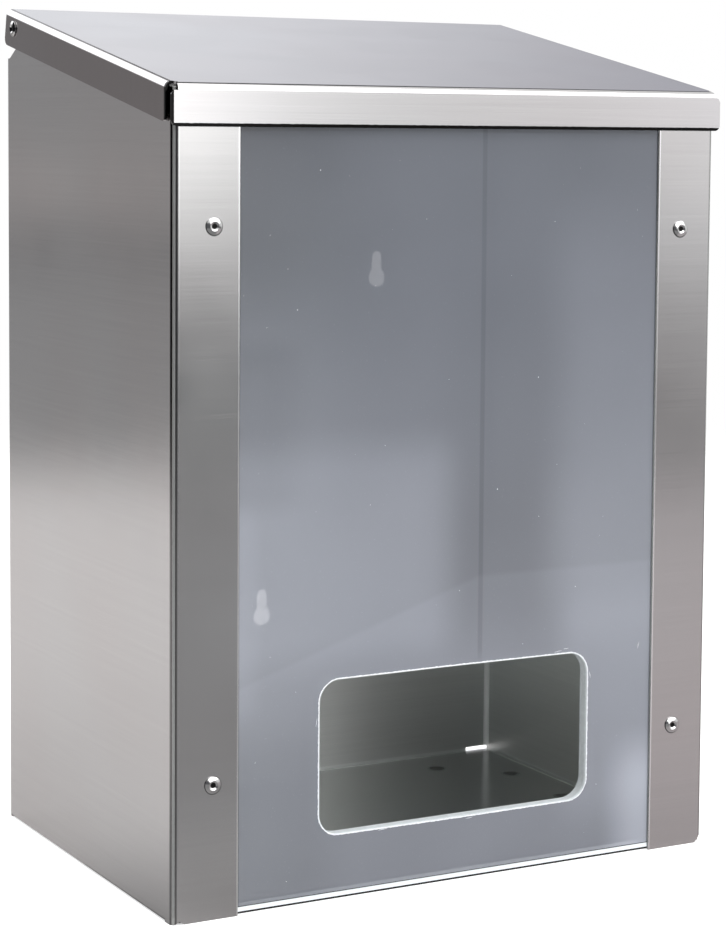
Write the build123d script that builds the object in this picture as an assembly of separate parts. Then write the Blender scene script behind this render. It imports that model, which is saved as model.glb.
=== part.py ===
"""Wall dispenser for disposable gloves: a folded steel housing with a clear front and a sloped, hinged lid.

Millimetres. +Z is up, +X is right and the front faces -Y. The origin is at the bottom, in the middle of the
overall width and depth.
"""
from build123d import *
from math import cos, radians, sin, sqrt, tan
import os

# ---- housing: one folded sheet ----
HOUSING_WIDTH = 250.0
HOUSING_DEPTH = 175.0
HOUSING_SHEET = 1.0
HOUSING_BEND = 3.0            # outer radius of the four upright folds
BOTTOM_BEND = 1.5             # outer radius of the folds at the bottom
RETURN_WIDTH = 28.0           # front returns that frame the window
BOTTOM_FLANGE = 25.0          # inward flanges that carry the floor
FOOT_NOTCH_LEFT = ((5.4, 0.0), (3.2, 1.3), (1.0, 0.0))    # in from the side wall, and height
FOOT_NOTCH_RIGHT = ((4.0, 0.0), (1.5, 2.6), (-1.0, 2.6), (-1.0, 0.0))
BACK_RELIEF_LENGTH = 12.0     # slit beside each end of the back flange
BACK_RELIEF_HEIGHT = 3.4

# ---- lid: one folded sheet ----
LID_SHEET = 1.0
LID_BEND = 3.0                # outer radius of its folds
LID_SLOPE = 11.5              # degrees, rising to the back
LID_SIDE_GAP = 0.8            # between a flange of the lid and the wall that it covers
LID_TOP_GAP = 0.8             # between the lid's underside and the edges of the sides
LID_FRONT_HEIGHT = 321.0      # sharp front edge of the top, before its fold is rounded
LID_FRONT_FLANGE = 16.0
LID_SIDE_FLANGE = 15.2        # measured square to the slope
LID_REAR_SETBACK = 6.0        # rear edge of the top, in front of the back panel
LID_REAR_ROUND = 3.0
LID_FRONT_ROUND = 2.5
LID_FLANGE_INSET = 0.4        # ends of the front flange, in from the lid's outer faces
LID_FLANGE_CHAMFER = 4.0      # drop of the slanted corner between the front fold and the flange's end
LID_SIDE_SETBACK = 4.8        # front ends of the side flanges, behind the lid's front face
LID_RELIEF_RADIUS = 1.5       # round reliefs where the folds meet
LID_RELIEF_DROP = 1.0         # relief in the front face, below its sharp upper edge
LID_RELIEF_OUT = 1.4          # the same relief, outside the end of the fold
LID_FRONT_LAP = 12.0          # run of the top that is drawn together with the front fold

# ---- hinge ----
HINGE_SETBACK = 14.0          # axis in front of the back panel
HINGE_DROP = 7.2              # axis below the lid's outer surface
HINGE_CLEARANCE = 0.05        # radial, between a rivet and the lid
BACK_DROP = 12.4              # top edge of the back panel, below the axis
NECK_DROP = 8.4               # root of the notch behind each ear, below the axis
NECK_SETBACK = 2.0            # the same root, behind the axis
NOTCH_RUN = 4.5               # foot of the notch's slope, in front of the back panel
NOTCH_ROUND = 3.0

# ---- window: clear sheet ----
WINDOW_SHEET = 5.0
WINDOW_SEAT = 0.05            # between the returns and the sheet
WINDOW_SIDE_GAP = 2.2
WINDOW_BOTTOM = 0.5
WINDOW_TOP_GAP = 1.7          # below the sloped edges of the sides
OPENING_WIDTH = 126.0
OPENING_HEIGHT = 62.2
OPENING_BOTTOM = 26.3
OPENING_OFFSET = 2.0          # its middle lies a little right of the centre line
OPENING_ROUND = 9.0

# ---- floor: flat sheet, spot-welded on the flanges ----
FLOOR_SHEET = 1.0
FLOOR_SIDE_GAP = 1.2
FLOOR_FRONT_GAP = 0.5

# ---- keyholes in the back panel ----
KEYHOLE_RADIUS = 4.5
KEYHOLE_SLOT = 5.5
KEYHOLE_RISE = 9.7            # from the round hole's centre to the slot's upper centre
KEYHOLE_SPACING = 120.0       # the two upper ones
KEYHOLE_UPPER = 235.5
KEYHOLE_LOWER = 78.5

# ---- blind rivets and washers ----
RIVET_RADIUS = 1.6
RIVET_HOLE_CLEARANCE = 0.05   # radial, in fixed sheets
RIVET_HEAD_RADIUS = 3.3
RIVET_HEAD_HEIGHT = 1.3
RIVET_HEAD_RIM = 0.5
RIVET_CRATER_RADIUS = 1.9     # mark of the setting tool round the stem
RIVET_CRATER_DEPTH = 0.45
RIVET_BORE = 0.95
RIVET_BULB_RADIUS = 2.5
RIVET_BULB_LENGTH = 3.2
RIVET_LIFT = 0.03             # play under each head
RIVET_END = 0.9               # closed end of the bulb
MANDREL_RADIUS = 0.92
MANDREL_RECESS = 0.8          # broken end below the top of the dome
WASHER_RADIUS = 4.0
WASHER_SHEET = 0.8
WINDOW_RIVET_INSET = 17.0     # in from each side
WINDOW_RIVET_LOW = 53.0
WINDOW_RIVET_DROP_LEFT = 50.5     # upper rivets, below the sheet's top edge
WINDOW_RIVET_DROP_RIGHT = 54.0

# ---- places worked out from the sizes above ----
HALF_WIDTH = HOUSING_WIDTH / 2
FRONT = (LID_SIDE_GAP + LID_SHEET - HOUSING_DEPTH) / 2      # outer face of the returns
BACK = FRONT + HOUSING_DEPTH                                # outer face of the back panel
INNER_HALF_WIDTH = HALF_WIDTH - HOUSING_SHEET
INNER_BACK = BACK - HOUSING_SHEET
WINDOW_FRONT = FRONT + HOUSING_SHEET + WINDOW_SEAT
WINDOW_BACK = WINDOW_FRONT + WINDOW_SHEET
FLOOR_FRONT = WINDOW_BACK + FLOOR_FRONT_GAP
LID_FRONT = FRONT - LID_SIDE_GAP - LID_SHEET
LID_HALF_WIDTH = HALF_WIDTH + LID_SIDE_GAP + LID_SHEET
HINGE_Y = BACK - HINGE_SETBACK
SLOPE = tan(radians(LID_SLOPE))
PIERCE = 4 * max(HOUSING_SHEET, LID_SHEET)   # a tool that passes one sheet, centred on its outer face


def lid_top(y):
    """Height of the lid's outer surface at y."""
    return LID_FRONT_HEIGHT + SLOPE * (y - LID_FRONT)


def side_top(y):
    """Height of the housing's sloped edges at y: the lid's underside less its gap."""
    return lid_top(y) - (LID_SHEET + LID_TOP_GAP) / cos(radians(LID_SLOPE))


HINGE_HEIGHT = lid_top(HINGE_Y) - HINGE_DROP
HINGE_EAR_RADIUS = (side_top(HINGE_Y) - HINGE_HEIGHT) * cos(radians(LID_SLOPE))   # the sloped edge runs into it
BACK_HEIGHT = HINGE_HEIGHT - BACK_DROP
WINDOW_TOP = side_top(WINDOW_FRONT) - WINDOW_TOP_GAP


def folded_strip(corners, thickness, outer_bend):
    """Face of a folded sheet seen on its edge: corners are its sharp outer corners, and the sheet lies to the
    left of the path through them. Outer corners get the bend's radius, and inner ones that radius less the sheet."""
    path = [Vector(*c) for c in corners]
    heading = [(b - a).normalized() for a, b in zip(path, path[1:])]
    left = [Vector(-h.Y, h.X) for h in heading]
    inner = [path[0] + left[0] * thickness]
    for corner, a, b in zip(path[1:], left, left[1:]):
        inner.append(corner + (a + b) * (thickness / (1 + a.dot(b))))
    inner.append(path[-1] + left[-1] * thickness)
    face = make_face(Polyline(*path, *reversed(inner), close=True))
    for row, radius in ((path[1:-1], outer_bend), (inner[1:-1], outer_bend - thickness)):
        at_bend = [min(face.vertices(), key=lambda v: (Vector(*v) - p).length) for p in row]
        face = fillet(at_bend, radius)
    return face


def across_width(face_yz, half_width):
    """Solid of a face drawn in (y, z), carried from -half_width to half_width along X."""
    return extrude(Plane.YZ * face_yz, half_width, both=True)


def cylinder_x(radius, length, x, y, z):
    return Pos(x, y, z) * Rot(0, 90, 0) * Cylinder(radius, length)


def cylinder_y(radius, length, x, y, z):
    return Pos(x, y, z) * Rot(90, 0, 0) * Cylinder(radius, length)


def window_rivet_places():
    """Name, x and z of each rivet that holds the window."""
    x = HALF_WIDTH - WINDOW_RIVET_INSET
    return (
        ("lower_left", -x, WINDOW_RIVET_LOW),
        ("lower_right", x, WINDOW_RIVET_LOW),
        ("upper_left", -x, WINDOW_TOP - WINDOW_RIVET_DROP_LEFT),
        ("upper_right", x, WINDOW_TOP - WINDOW_RIVET_DROP_RIGHT),
    )


def bottom_flange(length):
    """Inward flange with its fold, as long as asked, along local Y: outside at x = 0, flange towards -X."""
    profile = folded_strip(
        ((-BOTTOM_FLANGE, 0), (0, 0), (0, BOTTOM_BEND + HOUSING_SHEET)), HOUSING_SHEET, BOTTOM_BEND
    )
    return extrude(Plane.XZ * profile, length / 2, both=True)


def housing():
    """Back, sides and front returns in one wrap, trimmed to the sloped outline, with three bottom flanges."""
    wrap = folded_strip(
        (
            (HALF_WIDTH - RETURN_WIDTH, FRONT),
            (HALF_WIDTH, FRONT),
            (HALF_WIDTH, BACK),
            (-HALF_WIDTH, BACK),
            (-HALF_WIDTH, FRONT),
            (-HALF_WIDTH + RETURN_WIDTH, FRONT),
        ),
        HOUSING_SHEET,
        HOUSING_BEND,
    )
    body = extrude(wrap, lid_top(BACK))
    body &= across_width(side_outline(), HALF_WIDTH + PIERCE)

    # clear the strip where the bottom folds go, with a relief at both ends of each
    side_length = INNER_BACK - HOUSING_BEND - FLOOR_FRONT
    side_middle = (INNER_BACK - HOUSING_BEND + FLOOR_FRONT) / 2
    back_length = 2 * (INNER_HALF_WIDTH - BACK_RELIEF_LENGTH)
    for side in (-1, 1):
        body -= Pos(side * HALF_WIDTH, side_middle, 0) * Box(2 * PIERCE, side_length, 2 * BOTTOM_BEND)
    body -= Pos(0, BACK, 0) * Box(back_length, 2 * PIERCE, 2 * BOTTOM_BEND)
    for side in (-1, 1):
        side_flange = bottom_flange(side_length)
        if side < 0:
            side_flange = mirror(side_flange, Plane.YZ)
        body += Pos(side * HALF_WIDTH, side_middle, 0) * side_flange
        body -= foot_notch(side)
        slit_x = side * (INNER_HALF_WIDTH - BACK_RELIEF_LENGTH / 2)
        slit = Box(BACK_RELIEF_LENGTH, PIERCE, 2 * BACK_RELIEF_HEIGHT)
        body -= Pos(slit_x, BACK, 0) * slit
    body += Pos(0, BACK, 0) * Rot(0, 0, 90) * bottom_flange(back_length)

    for x, z in keyhole_places():
        body -= Pos(x, BACK, z) * keyhole()
    hole = RIVET_RADIUS + RIVET_HOLE_CLEARANCE
    for _, x, z in window_rivet_places():
        body -= cylinder_y(hole, PIERCE, x, FRONT, z)
    for side in (-1, 1):
        body -= cylinder_x(hole, PIERCE, side * HALF_WIDTH, HINGE_Y, HINGE_HEIGHT)
    return body


def side_outline():
    """Outline of the sides in (y, z): sloped edge, round ear behind each hinge, notch, and the back panel's top."""
    tilt = radians(LID_SLOPE)
    ear_start = HINGE_Y - HINGE_EAR_RADIUS * sin(tilt)
    root = Vector(HINGE_Y + NECK_SETBACK, HINGE_HEIGHT - NECK_DROP)
    foot = Vector(BACK - NOTCH_RUN, BACK_HEIGHT)
    outline = make_face(
        Polyline(
            (FRONT - PIERCE, 0),
            (FRONT - PIERCE, side_top(FRONT - PIERCE)),
            (ear_start, side_top(ear_start)),
            (HINGE_Y, HINGE_HEIGHT),
            root,
            foot,
            (BACK + PIERCE, BACK_HEIGHT),
            (BACK + PIERCE, 0),
            close=True,
        )
    )
    outline = fillet(min(outline.vertices(), key=lambda v: (Vector(*v) - foot).length), NOTCH_ROUND)
    return outline + Pos(HINGE_Y, HINGE_HEIGHT) * Circle(HINGE_EAR_RADIUS)


def foot_notch(side):
    """Cutter for the notch in the foot of one return, where its fold meets the bottom flange's."""
    corners = FOOT_NOTCH_RIGHT if side > 0 else FOOT_NOTCH_LEFT
    face = make_face(Polyline(*[(side * (HALF_WIDTH - inwards), z) for inwards, z in corners], close=True))
    return Pos(0, FRONT, 0) * extrude(Plane.XZ * face, HOUSING_BEND, both=True)


def keyhole_places():
    """x and z of the round part of each keyhole: two above, one below on the centre line."""
    half = KEYHOLE_SPACING / 2
    return ((-half, KEYHOLE_UPPER), (half, KEYHOLE_UPPER), (0, KEYHOLE_LOWER))


def keyhole():
    """Cutter through the back panel: a round hole with a narrower slot rising from it."""
    slot = Pos(0, 0, KEYHOLE_RISE / 2) * Box(KEYHOLE_SLOT, PIERCE, KEYHOLE_RISE)
    end = cylinder_y(KEYHOLE_SLOT / 2, PIERCE, 0, 0, KEYHOLE_RISE)
    return cylinder_y(KEYHOLE_RADIUS, PIERCE, 0, 0, 0) + slot + end


def floor_plate():
    """Flat sheet that lies on the bottom flanges."""
    half = INNER_HALF_WIDTH - FLOOR_SIDE_GAP
    rear = INNER_BACK - FLOOR_SIDE_GAP
    depth = rear - FLOOR_FRONT
    return Pos(0, (rear + FLOOR_FRONT) / 2, HOUSING_SHEET + FLOOR_SHEET / 2) * Box(2 * half, depth, FLOOR_SHEET)


def window():
    """Clear sheet with its rounded dispensing opening and four rivet holes."""
    half = INNER_HALF_WIDTH - WINDOW_SIDE_GAP
    sheet = Pos(0, (WINDOW_TOP + WINDOW_BOTTOM) / 2) * Rectangle(2 * half, WINDOW_TOP - WINDOW_BOTTOM)
    opening_middle = OPENING_BOTTOM + OPENING_HEIGHT / 2
    sheet -= Pos(OPENING_OFFSET, opening_middle) * RectangleRounded(OPENING_WIDTH, OPENING_HEIGHT, OPENING_ROUND)
    for _, x, z in window_rivet_places():
        sheet -= Pos(x, z) * Circle(RIVET_RADIUS + RIVET_HOLE_CLEARANCE)
    return Pos(0, WINDOW_BACK, 0) * extrude(Plane.XZ * sheet, WINDOW_SHEET)


def lid():
    """Sloped top with a front flange and two side flanges. The flanges stop at the folds' ends, so the front
    corners are open and meet in a round relief."""
    tilt = radians(LID_SLOPE)
    spare = LID_BEND
    channel_profile = folded_strip(
        (
            (LID_HALF_WIDTH, -LID_SIDE_FLANGE - spare),
            (LID_HALF_WIDTH, 0),
            (-LID_HALF_WIDTH, 0),
            (-LID_HALF_WIDTH, -LID_SIDE_FLANGE - spare),
        ),
        LID_SHEET,
        LID_BEND,
    )
    rear = BACK - LID_REAR_SETBACK
    length = (rear - LID_FRONT) / cos(tilt) + spare
    along = Plane(origin=(0, LID_FRONT, LID_FRONT_HEIGHT), x_dir=(1, 0, 0), z_dir=(0, -cos(tilt), -sin(tilt)))
    channel = extrude(along * channel_profile, -length)

    side_start = LID_FRONT + LID_SIDE_SETBACK
    down = Vector(sin(tilt), -cos(tilt))
    front_top = Vector(side_start, lid_top(side_start))
    rear_top = Vector(rear, lid_top(rear))
    front_low = front_top - Vector(0, LID_SIDE_FLANGE / cos(tilt))
    rear_low = rear_top + down * LID_SIDE_FLANGE
    front_high = front_top + Vector(0, spare)
    rear_high = rear_top - down * spare
    outline = make_face(Polyline(front_high, front_low, rear_low, rear_high, close=True))
    for corner, radius in ((front_low, LID_FRONT_ROUND), (rear_low, LID_REAR_ROUND)):
        outline = fillet(min(outline.vertices(), key=lambda v: (Vector(*v) - corner).length), radius)
    channel &= across_width(outline, LID_HALF_WIDTH + spare)

    overlap = LID_FRONT + LID_FRONT_LAP
    front_low_z = LID_FRONT_HEIGHT - LID_FRONT_FLANGE
    front_profile = folded_strip(
        ((overlap, lid_top(overlap)), (LID_FRONT, LID_FRONT_HEIGHT), (LID_FRONT, front_low_z)), LID_SHEET, LID_BEND
    )
    fold_half = LID_HALF_WIDTH - LID_BEND
    flange_half = LID_HALF_WIDTH - LID_FLANGE_INSET
    front = across_width(front_profile, flange_half)
    high = lid_top(overlap) + spare
    shoulder = LID_FRONT_HEIGHT - LID_FLANGE_CHAMFER
    half_outline = (
        (flange_half, front_low_z),
        (flange_half, shoulder),
        (fold_half, LID_FRONT_HEIGHT),
        (fold_half, high),
    )
    mirrored = [(-x, z) for x, z in reversed(half_outline)]
    outline = make_face(Polyline(*half_outline, *mirrored, close=True))
    outline = fillet(outline.vertices().group_by(Axis.Y)[0], LID_FRONT_ROUND)
    front &= Pos(0, LID_FRONT, 0) * extrude(Plane.XZ * outline, LID_FRONT_LAP + spare, both=True)
    body = channel + front

    for side in (-1, 1):
        fold_end = LID_FRONT + LID_BEND
        spot = Pos(side * fold_half, fold_end, lid_top(fold_end)) * Rot(LID_SLOPE, 0, 0)
        body -= spot * Cylinder(LID_RELIEF_RADIUS, 2 * LID_BEND)
        low_x, low_z = side * (fold_half + LID_RELIEF_OUT), LID_FRONT_HEIGHT - LID_RELIEF_DROP
        body -= cylinder_y(LID_RELIEF_RADIUS, 2 * LID_BEND, low_x, LID_FRONT, low_z)
        hole = RIVET_RADIUS + HINGE_CLEARANCE
        body -= cylinder_x(hole, PIERCE, side * LID_HALF_WIDTH, HINGE_Y, HINGE_HEIGHT)
    return body


def rivet_sleeve(grip):
    """Closed blind rivet without its stem, along +Z: domed head below z = 0, sleeve through the grip, and a bulb
    with a closed end behind it."""
    dome_rise = RIVET_HEAD_HEIGHT - RIVET_HEAD_RIM
    dome = (RIVET_HEAD_RADIUS**2 + dome_rise**2) / (2 * dome_rise)
    crater_z = -RIVET_HEAD_RIM - (sqrt(dome**2 - RIVET_CRATER_RADIUS**2) - (dome - dome_rise))
    end = grip + RIVET_BULB_LENGTH
    section = make_face(
        [
            Polyline(
                (RIVET_CRATER_RADIUS, crater_z),
                (RIVET_BORE, crater_z + RIVET_CRATER_DEPTH),
                (RIVET_BORE, end - RIVET_END),
                (0, end - RIVET_END),
                (0, end),
                (RIVET_BULB_RADIUS, end),
                (RIVET_BULB_RADIUS, grip),
                (RIVET_RADIUS, grip),
                (RIVET_RADIUS, 0),
                (RIVET_HEAD_RADIUS, 0),
                (RIVET_HEAD_RADIUS, -RIVET_HEAD_RIM),
            ),
            RadiusArc((RIVET_HEAD_RADIUS, -RIVET_HEAD_RIM), (RIVET_CRATER_RADIUS, crater_z), dome),
        ]
    )
    return revolve(Plane.XZ * section, Axis.Z)


def rivet_mandrel(grip):
    """Stem left in a blind rivet, along +Z, from its broken end in the dome to the closed end of the bulb."""
    start = -RIVET_HEAD_HEIGHT + MANDREL_RECESS
    end = grip + RIVET_BULB_LENGTH - RIVET_END
    return Pos(0, 0, (start + end) / 2) * Cylinder(MANDREL_RADIUS, end - start)


def washer():
    """Flat washer with its lower face at z = 0."""
    ring = Circle(WASHER_RADIUS) - Circle(RIVET_RADIUS + RIVET_HOLE_CLEARANCE)
    return extrude(ring, WASHER_SHEET)


def window_fasteners():
    """Rivet, stem and washer at each corner of the window, pushed in from the front."""
    washer_start = WINDOW_BACK + RIVET_LIFT
    head_seat = FRONT - RIVET_LIFT
    grip = washer_start + WASHER_SHEET + RIVET_LIFT - head_seat
    pieces = {}
    for name, x, z in window_rivet_places():
        inwards = Plane(origin=(x, head_seat, z), x_dir=(1, 0, 0), z_dir=(0, 1, 0))
        pieces[f"window_rivet_{name}"] = inwards * rivet_sleeve(grip)
        pieces[f"window_rivet_mandrel_{name}"] = inwards * rivet_mandrel(grip)
        behind = Plane(origin=(x, washer_start, z), x_dir=(1, 0, 0), z_dir=(0, 1, 0))
        pieces[f"window_washer_{name}"] = behind * washer()
    return pieces


def hinge_fasteners():
    """Rivet, stem and washer at each end of the lid's axis, pushed in from outside."""
    head_seat = LID_HALF_WIDTH + HINGE_CLEARANCE
    washer_start = INNER_HALF_WIDTH - RIVET_LIFT
    grip = head_seat - washer_start + WASHER_SHEET + RIVET_LIFT
    pieces = {}
    for name, side in (("left", -1), ("right", 1)):
        inwards = Plane(origin=(side * head_seat, HINGE_Y, HINGE_HEIGHT), x_dir=(0, 1, 0), z_dir=(-side, 0, 0))
        pieces[f"hinge_rivet_{name}"] = inwards * rivet_sleeve(grip)
        pieces[f"hinge_rivet_mandrel_{name}"] = inwards * rivet_mandrel(grip)
        inside = Plane(origin=(side * washer_start, HINGE_Y, HINGE_HEIGHT), x_dir=(0, 1, 0), z_dir=(-side, 0, 0))
        pieces[f"hinge_washer_{name}"] = inside * washer()
    return pieces


def all_pieces():
    return {
        "housing": housing(),
        "floor_plate": floor_plate(),
        "window": window(),
        "lid": lid(),
        **window_fasteners(),
        **hinge_fasteners(),
    }


os.makedirs("parts", exist_ok=True)
for node, shape in all_pieces().items():
    export_step(shape, f"parts/{node}.step")
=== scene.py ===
"""Looks for a wall dispenser of disposable gloves: brushed stainless sheet, a hazy clear front and blind rivets.

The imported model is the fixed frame. Its pieces keep their shape and get procedural finishes, and a few fine pieces
are added: weld marks, chips round the cut-out, dust on the clear sheet. Metres, +Z up, the front faces -Y.
"""

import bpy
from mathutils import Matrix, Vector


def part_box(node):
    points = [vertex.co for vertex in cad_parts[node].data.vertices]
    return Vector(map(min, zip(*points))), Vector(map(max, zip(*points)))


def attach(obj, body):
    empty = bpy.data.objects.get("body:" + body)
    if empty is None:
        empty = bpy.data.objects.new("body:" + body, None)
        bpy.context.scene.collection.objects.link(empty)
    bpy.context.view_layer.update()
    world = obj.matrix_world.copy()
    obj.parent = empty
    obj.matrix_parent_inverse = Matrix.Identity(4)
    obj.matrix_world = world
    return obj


bl_info = {
    "name": "Glove dispenser looks",
    "version": (1, 0, 0),
    "blender": (4, 5, 0),
    "location": "3D View > Sidebar > Dispenser",
    "description": "Finishes for the sheets, clear front and rivets of a glove dispenser, with a studio round it",
    "category": "Material",
}

from functools import cache
from math import cos, radians, sin, tau

import bpy
import numpy as np
from bpy.props import FloatProperty, FloatVectorProperty, IntProperty, PointerProperty
from mathutils import Matrix, Vector

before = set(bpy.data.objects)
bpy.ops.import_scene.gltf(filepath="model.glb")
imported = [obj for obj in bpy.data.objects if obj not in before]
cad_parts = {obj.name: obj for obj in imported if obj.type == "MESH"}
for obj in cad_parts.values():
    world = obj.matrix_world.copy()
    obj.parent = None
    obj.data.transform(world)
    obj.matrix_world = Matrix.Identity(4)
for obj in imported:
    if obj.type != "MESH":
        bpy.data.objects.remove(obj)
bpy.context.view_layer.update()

MM = 0.001
BODY = "dispenser"

HOUSING_LOW, HOUSING_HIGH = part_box("housing")
WINDOW_LOW, WINDOW_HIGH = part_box("window")
LID_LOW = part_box("lid")[0]
FLOOR_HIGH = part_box("floor_plate")[1]
SHEET = 1.0 * MM
RETURN_WIDTH = 28 * MM
RETURN_INNER = HOUSING_HIGH.x - RETURN_WIDTH
RETURN_LAP = 20 * MM
SEEN_GLOW = 0.45
GLOSSY_GLOW = 0.15
RIVET_HEAD = 1.3 * MM
ACRYLIC_IOR = 1.49

# x and y of the spot welds on the floor plate: a row along each side and one along the back
WELD_PLACES = np.array(
    [(x, y) for x in (-0.108, 0.108) for y in (-0.0480, -0.0040, 0.0400)]
    + [(x, 0.0636) for x in (-0.084, -0.018, 0.0815)]
)
WELD_SPOKES, WELD_CREST = 24, 0.7

# the cut-out in the plane of the clear sheet, x and z
CUT_OUT_LOW = (-0.061, 0.0263)
CUT_OUT_HIGH = (0.065, 0.0885)
CUT_OUT_ROUND = 0.009
CHIP_SEED, CHIP_POINTS = 7, 1400
DUST_SEED, DUST_HEIGHTS = 11, (0.004, 0.300)
# short burrs beside the cut-out and elsewhere: x and z of both ends
BURRS = (
    (0.0525, 0.0900, 0.0485, 0.0896),
    (0.0560, 0.0907, 0.0530, 0.0905),
    (0.0662, 0.0800, 0.0668, 0.0770),
    (-0.0622, 0.0740, -0.0626, 0.0700),
    (-0.0300, 0.0256, -0.0345, 0.0254),
    (0.0100, 0.0252, 0.0065, 0.0249),
    (0.0905, 0.0870, 0.0912, 0.0902),
)

# places in the plane of the clear sheet, x and z in metres: the corner of the edge of a painted reflection low on the
# sheet, and how steeply that edge climbs
REFLECTION_CORNER = (0.012, 0.1245)
REFLECTION_CLIMB = 0.33
# zones of painted reflection and painted shade on the clear sheet: reflections on its face, the shade of the inner
# corner seen through it, and painted shadows beside the front returns
# name, low and high x, softness, low and high z, softness, share of lightening (negative darkens)
PAINTED_LIGHT_ZONES = (
    ("upper left", -0.20, -0.100, 0.085, 0.265, 0.40, 0.060, -0.32),
    ("left shoulder", -0.20, -0.085, 0.025, 0.165, 0.215, 0.014, -0.14),
    ("low left", -0.20, -0.012, 0.022, 0.108, 0.168, 0.024, 0.26),
    ("left edge", -0.20, -0.096, 0.012, 0.085, 0.150, 0.016, 0.15),
    ("left foot", -0.20, -0.070, 0.030, -0.10, 0.055, 0.035, -0.18),
    ("behind the corner", 0.012, 0.036, 0.034, 0.122, 0.215, 0.050, -0.08),
    ("low behind the corner", 0.006, 0.030, 0.028, 0.122, 0.145, 0.045, -0.12),
    ("corner shade line", 0.0118, 0.0132, 0.0007, 0.095, 0.40, 0.008, -0.16),
    ("right side", 0.062, 0.20, 0.026, 0.12, 0.245, 0.045, 0.16),
    ("low right", 0.062, 0.20, 0.018, 0.03, 0.100, 0.020, 0.16),
    ("right foot", 0.092, 0.20, 0.022, -0.10, 0.030, 0.028, 0.70),
    ("right return shadow", 0.0966, 0.11, 0.0004, -0.10, 0.40, 0.020, -0.45),
    ("left return shadow", -0.11, -0.0964, 0.0004, -0.10, 0.40, 0.020, -0.45),
)

# name, azimuth from -Y towards +X, the card's angles (all in degrees), radiance
CARD_ANGLES = ("Half width", "Low", "High", "Side softness", "Rise softness")
STUDIO_CARDS = (
    ("dark left", -96, 50, -10, 30, 10, 6, (0.01, 0.01, 0.012)),
    ("left high box", -78, 26, 30, 60, 8, 5, (1.9, 1.9, 1.9)),
    ("dusk front left", -24, 18, -12, 14, 10, 8, (0.14, 0.14, 0.15)),
    ("front box", 13.2, 9.2, -0.4, 60, 6, 3.0, (2.4, 2.4, 2.4)),
    ("front high box", 30, 30, 16, 62, 10, 8, (3.4, 3.4, 3.4)),
    ("right gleam", 41, 3, -2, 12, 5, 3, (1.25, 1.22, 1.24)),
    ("front skirt", 2, 30, -90, -5.0, 6, 5.0, (0.14, 0.143, 0.15)),
    ("right skirt", 52, 18, -90, -6.5, 6, 7, (0.265, 0.255, 0.26)),
    ("left back wall", -157, 22, -90, 9, 10, 5, (0.345, 0.34, 0.345)),
    ("left back low", -157, 22, -90, -9.8, 10, 3.6, (0.38, 0.365, 0.355)),
    ("left back band", -157, 22, -2.8, -2.2, 10, 0.6, (0.22, 0.22, 0.228)),
    ("left back gleam", -157, 22, -1.5, -0.9, 10, 0.7, (0.46, 0.43, 0.425)),
    ("back box", -165, 16, 14, 45, 8, 4, (2.1, 2.1, 2.15)),
    ("back glow", 163, 14, 10, 28, 12, 4, (0.93, 0.94, 0.985)),
    ("back right dusk", 128, 12, 8, 28, 17, 6, (0.485, 0.485, 0.535)),
    ("back dark", 148, 16, 29, 57, 8, 4, (0.07, 0.07, 0.07)),
    ("top box", 0, 180, 64, 90, 1, 5, (2.0, 2.0, 2.0)),
)

# painted light low and painted shade higher up in the back corners inside, and the pale line along the foot of the
# inner walls
CORNER_LIT = (0.95, 0.96, 0.96)
CORNER_SHADE = (0.20, 0.20, 0.205)
CORNER_FOOT = (0.72, 0.74, 0.73)
SHADOW_TONE = (0.06, 0.06, 0.06)
# painted highlight along the inner edge of the front returns
EDGE_HIGHLIGHT = (0.98, 0.98, 0.98)
# painted shade in the gap under the lid
UNDER_LID_SHADE = (0.01, 0.01, 0.01)
# a thin dark line above the clear sheet's bright foot, and a painted shadow along the sheet's lowest edge
DARK_LINE_TONE = (0.02, 0.02, 0.02)
FLECK_SHADE = (0.55, 0.57, 0.60)
WARMER = (0.985, 0.965, 0.96)
WHITE = (1.0, 1.0, 1.0)


# ---- sizes and colours that a user would change


def colour(name, value, description):
    return FloatVectorProperty(
        name=name, description=description, default=value, size=3, min=0, max=1, subtype="COLOR"
    )


def length(name, value, description):
    return FloatProperty(name=name, description=description, default=value, unit="LENGTH", precision=5)


def share(name, value, description):
    return FloatProperty(name=name, description=description, default=value, min=0, max=1, subtype="FACTOR")


def number(name, value, description):
    return FloatProperty(name=name, description=description, default=value)


def angle(name, degrees, description):
    return FloatProperty(name=name, description=description, default=radians(degrees), subtype="ANGLE")


def brushed_values(tone, roughness, reach, width, depth, contrast):
    """The values that every brushed sheet has: its tone, its roughness, and the size of its strokes."""
    return {
        "tone": colour("Tone", tone, "Colour of the bare steel"),
        "roughness": share("Roughness", roughness, "Roughness of the brushed faces"),
        "stroke_length": length("Stroke length", reach, "Length of the strokes of the grain"),
        "stroke_width": length("Stroke width", width, "Width of the strokes of the grain"),
        "stroke_depth": length("Stroke depth", depth, "Depth of the strokes of the grain"),
        "contrast": share("Stroke contrast", contrast, "How much lighter and darker the strokes are"),
    }


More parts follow.
